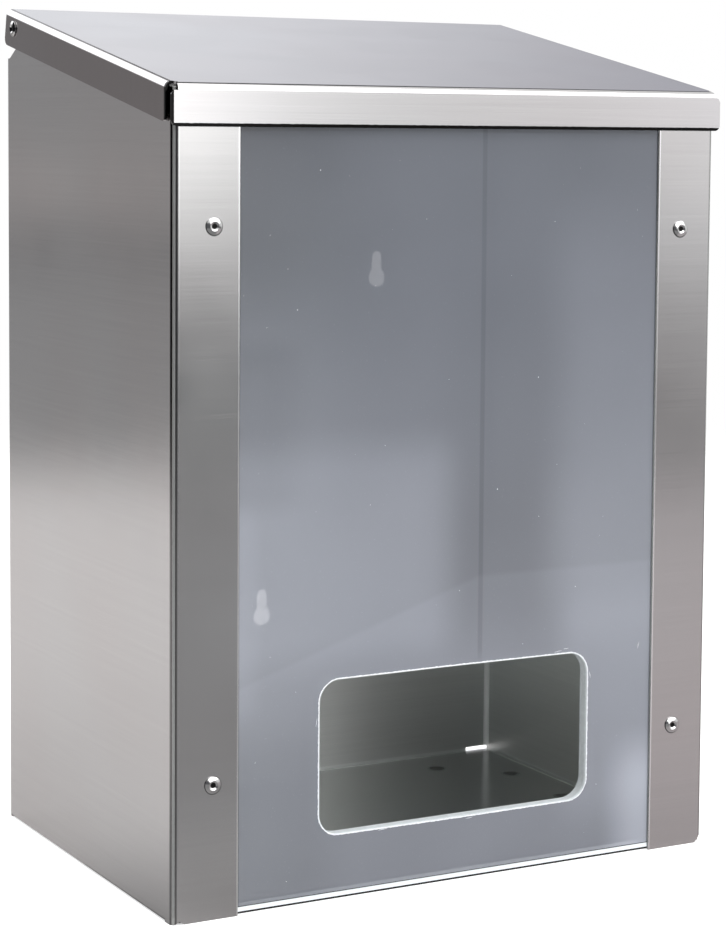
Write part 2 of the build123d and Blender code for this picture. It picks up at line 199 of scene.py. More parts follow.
class HousingFinish(bpy.types.PropertyGroup):
    """Brushed sheet of the housing."""

    __annotations__ = brushed_values(
        tone=(0.605, 0.605, 0.605), roughness=0.16, reach=0.060, width=0.0003, depth=5e-7, contrast=0.060
    )
    # painted light: the inner faces take a lighter copy of the steel's tone; they are also rougher, a real finish
    inner_tone: colour("Inner tone", (0.80, 0.83, 0.815), "Colour of the faces inside the housing")
    inner_roughness: share("Inner roughness", 0.42, "Least roughness of the faces inside the housing")
    # painted light and shade in the back corners inside
    corner_width: length("Corner", 0.0030, "Width of the folds at the back corners inside")
    rivet_shadow: length("Rivet shadow", 0.0005, "Width of the dark ring round the heads of the front rivets")
    fold_shade: share("Fold shade", 0.36, "Tone of the front folds as a share of the faces' tone")
    dim_height: length("Dim height", 0.080, "Height over which the inner faces grow dimmer towards the floor")
    corner_dusk: length("Corner dusk", 0.100, "Height above which the inner folds are dark")
    # painted highlight along the edge of the front returns
    edge_width: length("Bright edge", 0.0006, "Width of the bright edge of the front returns")


class LidFinish(bpy.types.PropertyGroup):
    """Brushed sheet of the lid."""

    __annotations__ = brushed_values(
        tone=(0.615, 0.612, 0.618), roughness=0.15, reach=0.080, width=0.0003, depth=5e-7, contrast=0.075
    )
    # painted shade: the side flanges are a darker copy of the lid's tone, with the same roughness
    flange_shade: colour("Flange shade", (0.34, 0.32, 0.32), "Colour of the shaded side flanges")
    # painted shadow of the gap under the front flange; its tone also serves the painted shade at the front left
    # corner, the relief and the top fold
    gap_shadow_height: length("Gap shadow line", 0.0013, "Height of the dark line along the lower edge of the front flange")
    lid_shade_tone: colour("Lid shade tone", (0.01, 0.01, 0.01), "Colour of that line and of the open front left corner")
    relief_height: length("Relief height", 0.0135, "Height of the foot of the relief above the lid's lowest edge")
    corner_width: length("Open corner", 0.0015, "Width of the dark strip beside the open front left corner")


class FloorFinish(bpy.types.PropertyGroup):
    """Dull sheet of the floor plate."""

    __annotations__ = brushed_values(
        tone=(0.28, 0.292, 0.29), roughness=0.20, reach=0.050, width=0.0004, depth=2e-6, contrast=0.10
    )
    weld_radius: length("Weld radius", 0.0050, "Radius of the marks of the spot welds")
    weld_height: length("Weld height", 0.00006, "Height of the swelling of a weld mark")
    weld_tone: colour("Weld tone", (0.05, 0.053, 0.05), "Colour of the scorched middle")
    edge_tone: colour("Edge tone", (0.62, 0.64, 0.63), "Colour of the polished edge along the housing")
    edge_width: length("Edge width", 0.0011, "Width of that edge")


class WindowFinish(bpy.types.PropertyGroup):
    """Hazy clear sheet."""

    haze_top: colour("Haze at the top", (0.120, 0.129, 0.153), "Colour of the haze at the top of the sheet")
    haze_low: colour("Haze below", (0.196, 0.206, 0.235), "Colour of the haze about a third of the way up")
    cover: share("Cover", 0.885, "Share of what lies behind that the haze on the front face hides from the eye")
    light_stop: share("Light stop", 0.12, "Share of the light that the haze on each face keeps out")
    roughness: share("Roughness", 0.06, "Roughness of the faces")
    cut_tone: colour("Cut edges", (0.62, 0.66, 0.68), "Colour of the frosted cut edges")
    chip_width: length("Chip width", 0.0008, "Width of the chipped rim round the cut-out")
    # painted highlight along the lower edge of the clear sheet
    foot_height: length("Foot", 0.0026, "Height of the bright lower edge")
    chip_tone: colour("Chips and dust", (0.86, 0.88, 0.90), "Colour of chips, burrs and dust")
    dust_count: IntProperty(name="Specks", description="Number of specks of dust", default=90, min=0, max=400)
    dust_radius: length("Speck radius", 0.00022, "Radius of the largest specks of dust")


class RivetFinish(bpy.types.PropertyGroup):
    """Polished rivets with dark broken stems."""
    # Polished rivets, with painted shade on the broken stems, round them and under the heads' rims.

    tone: colour("Tone", (0.60, 0.60, 0.60), "Colour of the domed heads")
    roughness: share("Roughness", 0.11, "Roughness of the domed heads")
    stem_roughness: share("Stem roughness", 0.45, "Roughness of the broken stems")
    washer_tone: colour("Washer", (0.62, 0.61, 0.60), "Colour of the washers")
    washer_roughness: share("Washer roughness", 0.3, "Roughness of the washers")
    # painted shade: the stems sit deep in their holes, in shade, and are painted near black
    stem_shade_tone: colour("Stem", (0.015, 0.015, 0.015), "Colour of the broken stems")
    # painted shade in the recess round the stem and along the foot of the head's rim
    recess_shade_tone: colour("Recess shade", (0.03, 0.03, 0.03), "Colour of the dirt round the stem and under the head's rim")
    stem_shade_reach: length("Stem shade reach", 0.00105, "Radius of the dirt round the stem")
    rim_shade_height: length("Rim shade", 0.00028, "How high the dirt stands on the head's rim")


class Studio(bpy.types.PropertyGroup):
    """Floor, light and camera."""

    floor_radius: length("Floor radius", 1.6, "Radius of the pale floor")
    floor_tone: colour("Floor tone", (0.80, 0.80, 0.80), "Colour of the floor")
    front_shade: colour("Front shade", (0.265, 0.262, 0.266), "Share of that tone that metal shows in front")
    near_shade: colour("Near shade", (0.365, 0.355, 0.355), "The same share close to the foot")
    right_shade: colour("Right shade", (0.47, 0.437, 0.443), "The same share at the front right")
    back_shade: colour("Back shade", (0.575, 0.55, 0.545), "The same share beside and behind the dispenser")
    camera_place: FloatVectorProperty(
        name="Camera",
        description="Place of the camera",
        default=(-0.5034, -0.9195, 0.3008),
        size=3,
        subtype="TRANSLATION",
    )
    heading: angle("Heading", 28.302, "Turn of the view from +Y towards +X")
    pitch: angle("Pitch", -4.380, "Rise of the view")
    roll: angle("Roll", 0.364, "Turn about the view")
    lens: number("Lens", 92.97, "Focal length in millimetres on a sensor 36 mm high")
    shift_right: number("Shift right", 0.0274, "Sideways shift as a share of the picture's height")
    shift_up: number("Shift up", -0.1555, "Upward shift as a share of the picture's height")


class DispenserLooks(bpy.types.PropertyGroup):
    """All sizes and colours of the dispenser's looks."""

    housing: PointerProperty(type=HousingFinish)
    lid: PointerProperty(type=LidFinish)
    floor: PointerProperty(type=FloorFinish)
    window: PointerProperty(type=WindowFinish)
    rivets: PointerProperty(type=RivetFinish)
    studio: PointerProperty(type=Studio)


# ---- node helpers


def build(tree, kind, inputs=None, **settings):
    """New shader node: settings are its own values, and inputs go to its sockets as links or constants."""
    node = tree.nodes.new("ShaderNode" + kind)
    for name, value in settings.items():
        setattr(node, name, value)
    for name, value in (inputs or {}).items():
        feed(tree, node.inputs[name], value)
    return node


def feed(tree, socket, value):
    if isinstance(value, bpy.types.NodeSocket):
        tree.links.new(value, socket)
    elif value is not None:
        socket.default_value = value


def calc(tree, operation, *values):
    """Output of a Math node."""
    return build(tree, "Math", dict(enumerate(values)), operation=operation).outputs[0]


def vector_calc(tree, operation, *values):
    """Vector output of a Vector Math node."""
    return build(tree, "VectorMath", dict(enumerate(values)), operation=operation).outputs["Vector"]


def both(tree, *masks):
    """Product of masks: where all of them hold."""
    total = masks[0]
    for mask in masks[1:]:
        total = calc(tree, "MULTIPLY", total, mask)
    return total


def either(tree, *masks):
    """Largest of masks: where any of them holds."""
    total = masks[0]
    for mask in masks[1:]:
        total = calc(tree, "MAXIMUM", total, mask)
    return total


def scale_add(tree, value, factor, offset):
    return calc(tree, "MULTIPLY_ADD", value, factor, offset)


def minus(tree, value, less):
    return calc(tree, "SUBTRACT", value, less)


def below(tree, value, limit):
    return calc(tree, "LESS_THAN", value, limit)


def above(tree, value, limit):
    return calc(tree, "GREATER_THAN", value, limit)


def object_place(tree):
    """Place on the object, in metres."""
    return build(tree, "TexCoord").outputs["Object"]


def speckle(tree, scale, detail=2.0):
    """Fine noise over the object, from 0 to 1."""
    return build(tree, "TexNoise", {"Vector": object_place(tree), "Scale": scale, "Detail": detail}).outputs[0]


def cloud_over(tree, size):
    """Soft clouds over the object, about size across."""
    return place(tree, soft_zones_group(), Vector=object_place(tree), Size=size)["Cloud"]


def tint(tree, colour_in, factor):
    """A colour times a factor, which may be a value or a colour."""
    return blend_colour(tree, 1.0, colour_in, factor, "MULTIPLY")


def ramp_between(tree, value, low, high, to_low=0.0, to_high=1.0):
    """Smooth step of a value from low to high."""
    sockets = {"Value": value, "From Min": low, "From Max": high, "To Min": to_low, "To Max": to_high}
    return build(tree, "MapRange", sockets, interpolation_type="SMOOTHSTEP").outputs[0]


def blend_colour(tree, factor, first, second, mode="MIX"):
    """Colour output of a Mix node."""
    node = build(tree, "Mix", {0: factor}, data_type="RGBA", blend_type=mode)
    feed(tree, node.inputs[6], opaque(first))
    feed(tree, node.inputs[7], opaque(second))
    return node.outputs[2]


def band(tree, value, low, high, softness):
    """1 between low and high, falling smoothly to 0 over the softness on both sides."""
    rise = ramp_between(tree, value, low - softness, low)
    return both(tree, rise, ramp_between(tree, value, high + softness, high))


def opaque(value):
    return value if isinstance(value, bpy.types.NodeSocket) else (*value, 1.0)


def parts_of(tree, vector):
    """The three outputs of a Separate XYZ node."""
    return build(tree, "SeparateXYZ", {0: vector}).outputs


def new_group(name, inputs, outputs):
    """Empty shader node group with named sockets: (tree, its inputs by name, its output node)."""
    group = bpy.data.node_groups.new(name, "ShaderNodeTree")
    for side, sockets in (("INPUT", inputs), ("OUTPUT", outputs)):
        for socket_name, kind in sockets.items():
            group.interface.new_socket(socket_name, in_out=side, socket_type="NodeSocket" + kind.capitalize())
    entry = group.nodes.new("NodeGroupInput")
    leave = group.nodes.new("NodeGroupOutput")
    return group, entry.outputs, leave.inputs


def place(tree, group, **inputs):
    """A group placed in a material: an underscore in a name stands for a space."""
    node = tree.nodes.new("ShaderNodeGroup")
    node.node_tree = group
    for name, value in inputs.items():
        feed(tree, node.inputs[name.replace("_", " ")], value)
    return node.outputs


def new_material(name):
    """Empty material with nodes: (material, tree, its Principled shader)."""
    material = bpy.data.materials.new(name)
    material.use_nodes = True
    tree = material.node_tree
    tree.nodes.clear()
    shader = build(tree, "BsdfPrincipled")
    output = build(tree, "OutputMaterial", {"Surface": shader.outputs[0]})
    output.target = "ALL"
    return material, tree, shader


def paint(tree, shader, tone, roughness=None, metallic=None):
    """Sets a Principled shader's colour, roughness and metalness, each if given."""
    feed(tree, shader.inputs["Base Color"], tone)
    feed(tree, shader.inputs["Roughness"], roughness)
    feed(tree, shader.inputs["Metallic"], metallic)


def dress(node_name, material):
    """Gives a CAD node its material."""
    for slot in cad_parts[node_name].material_slots:
        slot.material = material


def show(name, data):
    """New object in the scene."""
    thing = bpy.data.objects.new(name, data)
    bpy.context.scene.collection.objects.link(thing)
    return thing


# ---- shared effects, each made once


@cache
def sheet_axes_group():
    """Chooses which of three vectors runs (along the grain, across it, through it), by the axis that the face's
    normal is nearest to. Side and Front are the squares of the normal's x and y."""
    facings = {"Normal": "vector", "Side faces": "vector", "Front faces": "vector", "Level faces": "vector"}
    group, entry, leave = new_group("sheet_axes", facings, {"Grain": "vector", "Side": "float", "Front": "float"})
    squares = parts_of(group, vector_calc(group, "MULTIPLY", entry["Normal"], entry["Normal"]))
    total = None
    for share_of, name in zip(squares, ("Side faces", "Front faces", "Level faces")):
        mask = calc(group, "GREATER_THAN", share_of, 0.5)
        part = build(group, "VectorMath", {0: entry[name], "Scale": mask}, operation="SCALE").outputs["Vector"]
        total = part if total is None else vector_calc(group, "ADD", total, part)
    feed(group, leave["Grain"], total)
    feed(group, leave["Side"], squares[0])
    feed(group, leave["Front"], squares[1])
    return group


@cache
def brushed_grain_group():
    """Brushed strokes: noise squeezed across the grain and stretched along it.

    Fine is one stroke's height from 0 to 1, and Streak is a wider, fainter band of the same direction.
    """
    sockets = {"Grain": "vector", "Stroke length": "float", "Stroke width": "float"}
    group, entry, leave = new_group("brushed_grain", sockets, {"Fine": "float", "Streak": "float"})
    for output, width_factor, length_factor, detail in (("Fine", 1.0, 1.0, 2.0), ("Streak", 7.0, 4.0, 1.0)):
        stretch = build(group, "CombineXYZ").outputs[0]
        combine = stretch.node
        feed(group, combine.inputs[0], calc(group, "DIVIDE", 1 / length_factor, entry["Stroke length"]))
        feed(group, combine.inputs[1], calc(group, "DIVIDE", 1 / width_factor, entry["Stroke width"]))
        feed(group, combine.inputs[2], 7.0)
        vector = vector_calc(group, "MULTIPLY", entry["Grain"], stretch)
        noise = build(group, "TexNoise", {"Vector": vector, "Scale": 1.0, "Detail": detail, "Roughness": 0.6})
        feed(group, leave[output], noise.outputs[0])
    return group


@cache
def soft_zones_group():
    """Large soft clouds, for uneven tone: 0 to 1, about Size across."""
    group, entry, leave = new_group("soft_zones", {"Vector": "vector", "Size": "float"}, {"Cloud": "float"})
    scale = calc(group, "DIVIDE", 1.0, entry["Size"])
    noise = build(group, "TexNoise", {"Vector": entry["Vector"], "Scale": scale, "Detail": 1.0, "Roughness": 0.4})
    feed(group, leave["Cloud"], ramp_between(group, noise.outputs[0], 0.3, 0.7))
    return group


# ---- materials


def brushed_sheet(name, finish, side_order, front_order, level_order):
    """Brushed steel: grain along the first axis of each order, strokes as bump, and uneven tone and roughness."""
    material, tree, shader = new_material(name)
    coords = build(tree, "TexCoord").outputs
    axes = dict(zip("xyz", parts_of(tree, coords["Object"])))
    vectors = []
    for order in (side_order, front_order, level_order):
        vectors.append(build(tree, "CombineXYZ", {i: axes[letter] for i, letter in enumerate(order)}).outputs[0])
    turned = dict(zip(("Side_faces", "Front_faces", "Level_faces"), vectors))
    facing = place(tree, sheet_axes_group(), Normal=coords["Normal"], **turned)
    strokes = {"Stroke_length": finish.stroke_length, "Stroke_width": finish.stroke_width}
    grain = place(tree, brushed_grain_group(), Grain=facing["Grain"], **strokes)
    cloud = cloud_over(tree, 0.09)
    contrast = finish.contrast
    tone = scale_add(tree, grain["Fine"], 2 * contrast, 1 - contrast)
    tone = calc(tree, "MULTIPLY", tone, scale_add(tree, grain["Streak"], contrast, 1 - contrast / 2))
    warm = tuple(c * f for c, f in zip(finish.tone, WARMER))
    colour_out = tint(tree, blend_colour(tree, cloud, finish.tone, warm), tone)
    rough = scale_add(tree, cloud_over(tree, 0.035), 0.025, finish.roughness - 0.012)
    rough = scale_add(tree, grain["Fine"], 0.04, minus(tree, rough, 0.02))
    paint(tree, shader, colour_out, rough, 1.0)
    bump = build(tree, "Bump", {"Height": grain["Fine"], "Distance": finish.stroke_depth, "Strength": 1.0})
    feed(tree, shader.inputs["Normal"], bump.outputs[0])
    return material, tree, shader, facing, colour_out


def reflection_line(tree, x, z):
    """Signed distance of a point above the edge of a painted reflection, a lighter zone low on the clear sheet: the
    edge climbs from the left to a corner, then stays level."""
    climb = scale_add(tree, x, REFLECTION_CLIMB, REFLECTION_CORNER[1] - REFLECTION_CLIMB * REFLECTION_CORNER[0])
    edge = calc(tree, "MINIMUM", climb, REFLECTION_CORNER[1])
    return minus(tree, z, edge)


def hazy_sheet(finish):
    """Clear sheet under a haze: haze colour by height, painted reflections and painted shade in soft zones, specks, a
    painted highlight along the foot between a thin dark line above and a painted shadow below, and frosted cut edges
    between its two faces, with a painted highlight near the front. The haze lies on the front face, hides most of
    what lies behind it from the eye, and keeps little light out."""
    material, tree, shader = new_material("hazy_clear_sheet")
    x, y, z = parts_of(tree, object_place(tree))
    middle = (WINDOW_LOW.y + WINDOW_HIGH.y) / 2
    half = (WINDOW_HIGH.y - WINDOW_LOW.y) / 2
    from_middle = calc(tree, "ABSOLUTE", minus(tree, y, middle))
    cut = below(tree, from_middle, half - 0.02 * MM)
    # painted highlight: the cut faces grow brighter towards the front face
    rim = ramp_between(tree, y, WINDOW_LOW.y + 1.6 * MM, WINDOW_LOW.y + 0.6 * MM)
    # painted highlight along the foot of the sheet, with a thin dark line above it and a painted shadow along its
    # lowest 0.8 mm
    foot_top = WINDOW_LOW.z + finish.foot_height
    foot = below(tree, z, foot_top)
    upper_line = band(tree, z, foot_top, foot_top + 0.25 * MM, 0.10 * MM)
    dark_lines = either(tree, upper_line, below(tree, z, WINDOW_LOW.z + 0.8 * MM))

    haze = blend_colour(tree, ramp_between(tree, z, 0.11, 0.34), finish.haze_low, finish.haze_top)
    level = 1.0
    # painted reflections and painted shade, zone by zone
    for _, x_low, x_high, x_soft, z_low, z_high, z_soft, lift in PAINTED_LIGHT_ZONES:
        zone = both(tree, band(tree, x, x_low, x_high, x_soft), band(tree, z, z_low, z_high, z_soft))
        level = scale_add(tree, zone, lift, level)
    # painted reflection: lighter below a climbing edge low on the sheet
    under = ramp_between(tree, reflection_line(tree, x, z), 1.5 * MM, -1.5 * MM)
    under = both(tree, under, ramp_between(tree, z, 0.03, 0.10))
    level = scale_add(tree, under, 0.10, level)
    level = scale_add(tree, minus(tree, cloud_over(tree, 0.05), 0.5), 0.05, level)
    level = scale_add(tree, ramp_between(tree, speckle(tree, 1500.0, 1.0), 0.70, 0.80), 0.15, level)
    haze = tint(tree, haze, level)

    # a brighter copy of the cut tone, for the painted highlights on the cut faces and along the foot
    bright = tuple(min(1.0, c * 1.3) for c in finish.cut_tone)
    cut_colour = blend_colour(tree, rim, finish.cut_tone, bright)
    cut_colour = tint(tree, cut_colour, scale_add(tree, speckle(tree, 700.0, 3.0), 0.3, 0.85))
    haze = blend_colour(tree, foot, haze, bright)
    haze = blend_colour(tree, dark_lines, haze, DARK_LINE_TONE)
    paint(tree, shader, blend_colour(tree, cut, haze, cut_colour), scale_add(tree, cut, 0.5, finish.roughness))
    seen = build(tree, "LightPath").outputs["Is Camera Ray"]
    hidden = both(tree, below(tree, y, middle), finish.cover)
    cover = build(tree, "Mix", {0: seen, 2: finish.light_stop, 3: hidden}, data_type="FLOAT").outputs[0]
    solid = both(tree, either(tree, cut, foot, dark_lines), seen)
    feed(tree, shader.inputs["Alpha"], either(tree, solid, cover))
    shader.inputs["IOR"].default_value = ACRYLIC_IOR
    return material


def speckled_metal(name, tone, roughness, shade):
    """Small turned metal: its tone grows darker in specks, down to a share. (material, tree, shader, its tone)."""
    material, tree, shader = new_material(name)
    noise = speckle(tree, 900.0)
    toned = blend_colour(tree, noise, tuple(c * shade for c in tone), tone)
    paint(tree, shader, toned, scale_add(tree, noise, 0.08, roughness - 0.04), 1.0)
    return material, tree, shader, toned


def rivet_metal(node_name, finish):
    """Polished head of one rivet, with painted shade in the recess round its stem and along the foot of its rim.

    Its axis runs along x at a hinge and along y on the front, and its head points away from the middle.
    """
    material, tree, shader, tone = speckled_metal("polished_" + node_name, finish.tone, finish.roughness, 0.85)
    low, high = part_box(node_name)
    axis = 0 if node_name.startswith("hinge") else 1
    middle = (low + high) / 2
    outward = 1.0 if middle[axis] > 0 else -1.0
    head_end = high[axis] if outward > 0 else low[axis]
    spot = parts_of(tree, object_place(tree))
    from_axis = [minus(tree, spot[i], middle[i]) for i in range(3) if i != axis]
    squares = [calc(tree, "MULTIPLY", value, value) for value in from_axis]
    radius = calc(tree, "SQRT", calc(tree, "ADD", *squares))
    depth = calc(tree, "MULTIPLY", minus(tree, head_end, spot[axis]), outward)
    # painted shade in the recess round the stem and along the foot of the rim
    stem = ramp_between(tree, radius, finish.stem_shade_reach + 0.15 * MM, finish.stem_shade_reach)
    rim = ramp_between(tree, depth, RIVET_HEAD - 2 * finish.rim_shade_height, RIVET_HEAD - finish.rim_shade_height)
    paint(tree, shader, blend_colour(tree, either(tree, stem, rim), tone, finish.recess_shade_tone))
    return material


def scorched_weld(finish):
    """Mark of a spot weld: its attribute runs from 0 in the scorched middle to 1 at the rim, where it meets the
    plate's own tone."""
    material, tree, shader = new_material("weld_mark")
    across = build(tree, "Attribute", attribute_name="across").outputs["Fac"]
    scorch = ramp_between(tree, across, 1.0, 0.5)
    tone = blend_colour(tree, scorch, finish.tone, finish.weld_tone)
    paint(tree, shader, tone, scale_add(tree, scorch, 0.12, finish.roughness), 1.0)
    return material


def frosted_flecks(finish):
    """White, broken plastic: chips, burrs and dust."""
    material, tree, shader = new_material("frosted_flecks")
    noise = speckle(tree, 900.0)
    tone = blend_colour(tree, noise, FLECK_SHADE, finish.chip_tone)
    paint(tree, shader, tone, scale_add(tree, noise, 0.3, 0.4))
    return material


# ---- new surfaces


def add_piece(name, points, quads, material, across=None):
    """Mesh of whole arrays: points (n, 3), quads (m, 4), and a value per point for its material. It rides on the
    housing's body and wears the material given."""
    mesh = bpy.data.meshes.new(name)
    mesh.from_pydata(points.tolist(), [], quads.tolist())
    if across is not None:
        mesh.attributes.new("across", "FLOAT", "POINT").data.foreach_set("value", across.astype(np.float32))
    mesh.materials.append(material)
    piece = show(name, mesh)
    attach(piece, BODY)
    return piece


def tube_quads(strips, rows, ring, closed):
    """Quads of several strips of points laid out as (strip, row, ring). A closed strip's last row joins its first."""
    row = np.arange(rows if closed else rows - 1)
    spot = np.arange(ring)
    strip, row, spot = np.meshgrid(np.arange(strips) * rows * ring, row, spot, indexing="ij")
    after_row = (row + 1) % rows
    after_spot = (spot + 1) % ring
    corners = (row * ring + spot, after_row * ring + spot, after_row * ring + after_spot, row * ring + after_spot)
    return np.stack([strip + corner for corner in corners], -1).reshape(-1, 4)


def ridges(lines, half_widths, height, sunk, closed=False):
    """Low ridges on the front face of the clear sheet.

    lines holds (strip, row, 2) points in x and z, half_widths (strip, row). Each cross-section has four points: one
    at each side of the line, half a width away along the line's normal, a crest in front of it, and a foot sunk
    in the sheet. The crest stands height times the share of the widest half width.
    """
    ahead, behind = np.roll(lines, -1, 1), np.roll(lines, 1, 1)
    if not closed:
        ahead[:, -1], behind[:, 0] = lines[:, -1], lines[:, 0]
    along = ahead - behind
    along /= np.linalg.norm(along, axis=-1, keepdims=True)
    across = np.stack([-along[..., 1], along[..., 0]], -1) * half_widths[..., None]
    rise = height * half_widths / half_widths.max()
    face = WINDOW_LOW.y
    flat = np.stack([lines - across, lines, lines + across, lines], 2)
    level = np.full_like(rise, face)
    depth = np.stack([level, face - rise, level, face + sunk * half_widths / half_widths.max()], 2)
    points = np.stack([flat[..., 0], depth, flat[..., 1]], -1)
    return points.reshape(-1, 3), tube_quads(lines.shape[0], lines.shape[1], 4, closed)


def rounded_loop(low, high, radius, count):
    """Points round a rectangle with round corners, evenly spaced: low and high are its corners in x and z. The
    distance along the outline gives the run or the quarter circle that a point lies on, and how far along it."""
    width, tall = high[0] - low[0] - 2 * radius, high[1] - low[1] - 2 * radius
    arc = tau / 4 * radius
    lengths = np.array([width, arc, tall, arc, width, arc, tall, arc])
    ends = np.concatenate([[0.0], np.cumsum(lengths)])
    along = np.linspace(0.0, ends[-1], count, endpoint=False)
    part = np.searchsorted(ends, along, side="right") - 1
    rest = along - ends[part]
    side = part // 2
    turn = side * tau / 4
    on_arc = part % 2 == 1
    swing = np.where(on_arc, rest / radius, 0.0)
    run = np.where(on_arc, lengths[2 * side], rest)
    (x0, z0), (x1, z1) = low, high
    starts = np.array([(x0 + radius, z0), (x1, z0 + radius), (x1 - radius, z1), (x0, z1 - radius)])
    forward = np.stack([np.cos(turn), np.sin(turn)], -1)
    inward = np.stack([-np.sin(turn), np.cos(turn)], -1)
    bend = radius * (forward * np.sin(swing)[:, None] + inward * (1 - np.cos(swing))[:, None])
    return starts[side] + forward * run[:, None] + bend


def weld_mark_points(places, top, radius, height):
    """Points (mark, ring, spoke, 3) and their share of the radius.

    A mark is turned about its middle: at the share r of its radius it stands height times a bell round the crest's
    share, and its rim ends just under the plate's face. The middle closes in a point.
    """
    share_out = np.array([1e-4, 0.2, 0.4, 0.55, 0.7, 0.85, 1.0])
    turn = np.linspace(0.0, tau, WELD_SPOKES, endpoint=False)
    r, a = np.meshgrid(share_out, turn, indexing="ij")
    bell = np.exp(-(((r - WELD_CREST) / 0.2) ** 2))
    rise = top + height * (0.15 + bell) * (r < 0.99) - 0.2 * height * (r >= 0.99)
    wobble = 1 + 0.05 * np.sin(3 * a + 1.0)
    one = np.stack([radius * r * wobble * np.cos(a), radius * r * wobble * np.sin(a), rise], -1)
    shift = np.concatenate([places, np.zeros((len(places), 1))], -1)
    return one[None] + shift[:, None, None, :], np.broadcast_to(r, (len(places),) + r.shape)


# ---- operators


class DispenserOperator(bpy.types.Operator):
    """Shared ground of the dispenser's operators."""

    bl_options = {"REGISTER", "UNDO"}

    @property
    def looks(self):
        return bpy.context.scene.dispenser_looks


class FinishHousing(DispenserOperator):
    """Brushed steel on the folded housing, with the grain running round it"""

    bl_idname = "dispenser.finish_housing"
    bl_label = "Finish housing"

    def execute(self, context):
        finish = self.looks.housing
        material, tree, shader, facing, tone = brushed_sheet("housing_brushed", finish, "yzx", "xzy", "yxz")
        x, y, z = parts_of(tree, object_place(tree))
        from_side = calc(tree, "ABSOLUTE", x)
        middle = (HOUSING_LOW.y + HOUSING_HIGH.y) / 2
        from_middle = calc(tree, "ABSOLUTE", minus(tree, y, middle))
        half_depth = (HOUSING_HIGH.y - HOUSING_LOW.y) / 2
        skin = SHEET / 2
        inner = both(tree, below(tree, from_side, HOUSING_HIGH.x - skin), below(tree, from_middle, half_depth - skin))

        # painted light: a lighter copy of the steel for the inner faces, darker towards the floor
        light_painted_copy = tint(tree, tone, tuple(a / b for a, b in zip(finish.inner_tone, finish.tone)))
        light_painted_copy = tint(tree, light_painted_copy, ramp_between(tree, z, 0.0, finish.dim_height, 0.75, 1.0))
        # painted light and shade in the back corners inside: lit low, in shade above the corner dusk
        dusk = ramp_between(tree, z, finish.corner_dusk, finish.corner_dusk + 20 * MM)
        corner_tone = blend_colour(tree, dusk, CORNER_LIT, CORNER_SHADE)
        corner = above(tree, from_side, HOUSING_HIGH.x - finish.corner_width)
        corner = both(tree, corner, above(tree, y, HOUSING_HIGH.y - finish.corner_width))
        light_painted_copy = blend_colour(tree, corner, light_painted_copy, corner_tone)
        foot = ramp_between(tree, z, FLOOR_HIGH.z + 1.4 * MM, FLOOR_HIGH.z + 0.6 * MM)
        light_painted_copy = blend_colour(tree, foot, light_painted_copy, CORNER_FOOT)

        outer = blend_colour(tree, self.rivet_shadow(tree, finish, x, z), tone, SHADOW_TONE)
        fold = both(tree, band(tree, facing["Side"], 0.14, 0.92, 0.08), below(tree, y, 0.0))
        outer = tint(tree, outer, scale_add(tree, fold, finish.fold_shade - 1, 1.0))
        # painted highlight along the inner cut edge of the front returns
        front = below(tree, y, HOUSING_LOW.y + 1.2 * SHEET)
        edge = both(tree, front, below(tree, from_side, RETURN_INNER + finish.edge_width))
        outer = blend_colour(tree, edge, outer, EDGE_HIGHLIGHT)
        # painted shade: the front folds under the lid are near black, for the gap between lid and housing
        covered = both(tree, above(tree, z, LID_LOW.z + 0.2 * MM), fold)
        outer = blend_colour(tree, covered, outer, UNDER_LID_SHADE)
        rough = shader.inputs["Roughness"].links[0].from_socket
        rough = either(tree, rough, both(tree, inner, finish.inner_roughness))
        paint(tree, shader, blend_colour(tree, inner, outer, light_painted_copy), rough)
        dress("housing", material)
        return {"FINISHED"}

    @staticmethod
    def rivet_shadow(tree, finish, x, z):
        """Dark ring round each front rivet's head, a little to the right and below it."""
        near = None
        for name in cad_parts:
            if name.startswith("window_rivet") and "mandrel" not in name:
                low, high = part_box(name)
                aside = minus(tree, x, (low.x + high.x) / 2 + 0.2 * MM)
                rise = minus(tree, z, (low.z + high.z) / 2 - 0.2 * MM)
                square = scale_add(tree, aside, aside, calc(tree, "MULTIPLY", rise, rise))
                near = square if near is None else calc(tree, "MINIMUM", near, square)
        reach = (high.x - low.x) / 2
        return ramp_between(tree, calc(tree, "SQRT", near), reach + finish.rivet_shadow, reach)


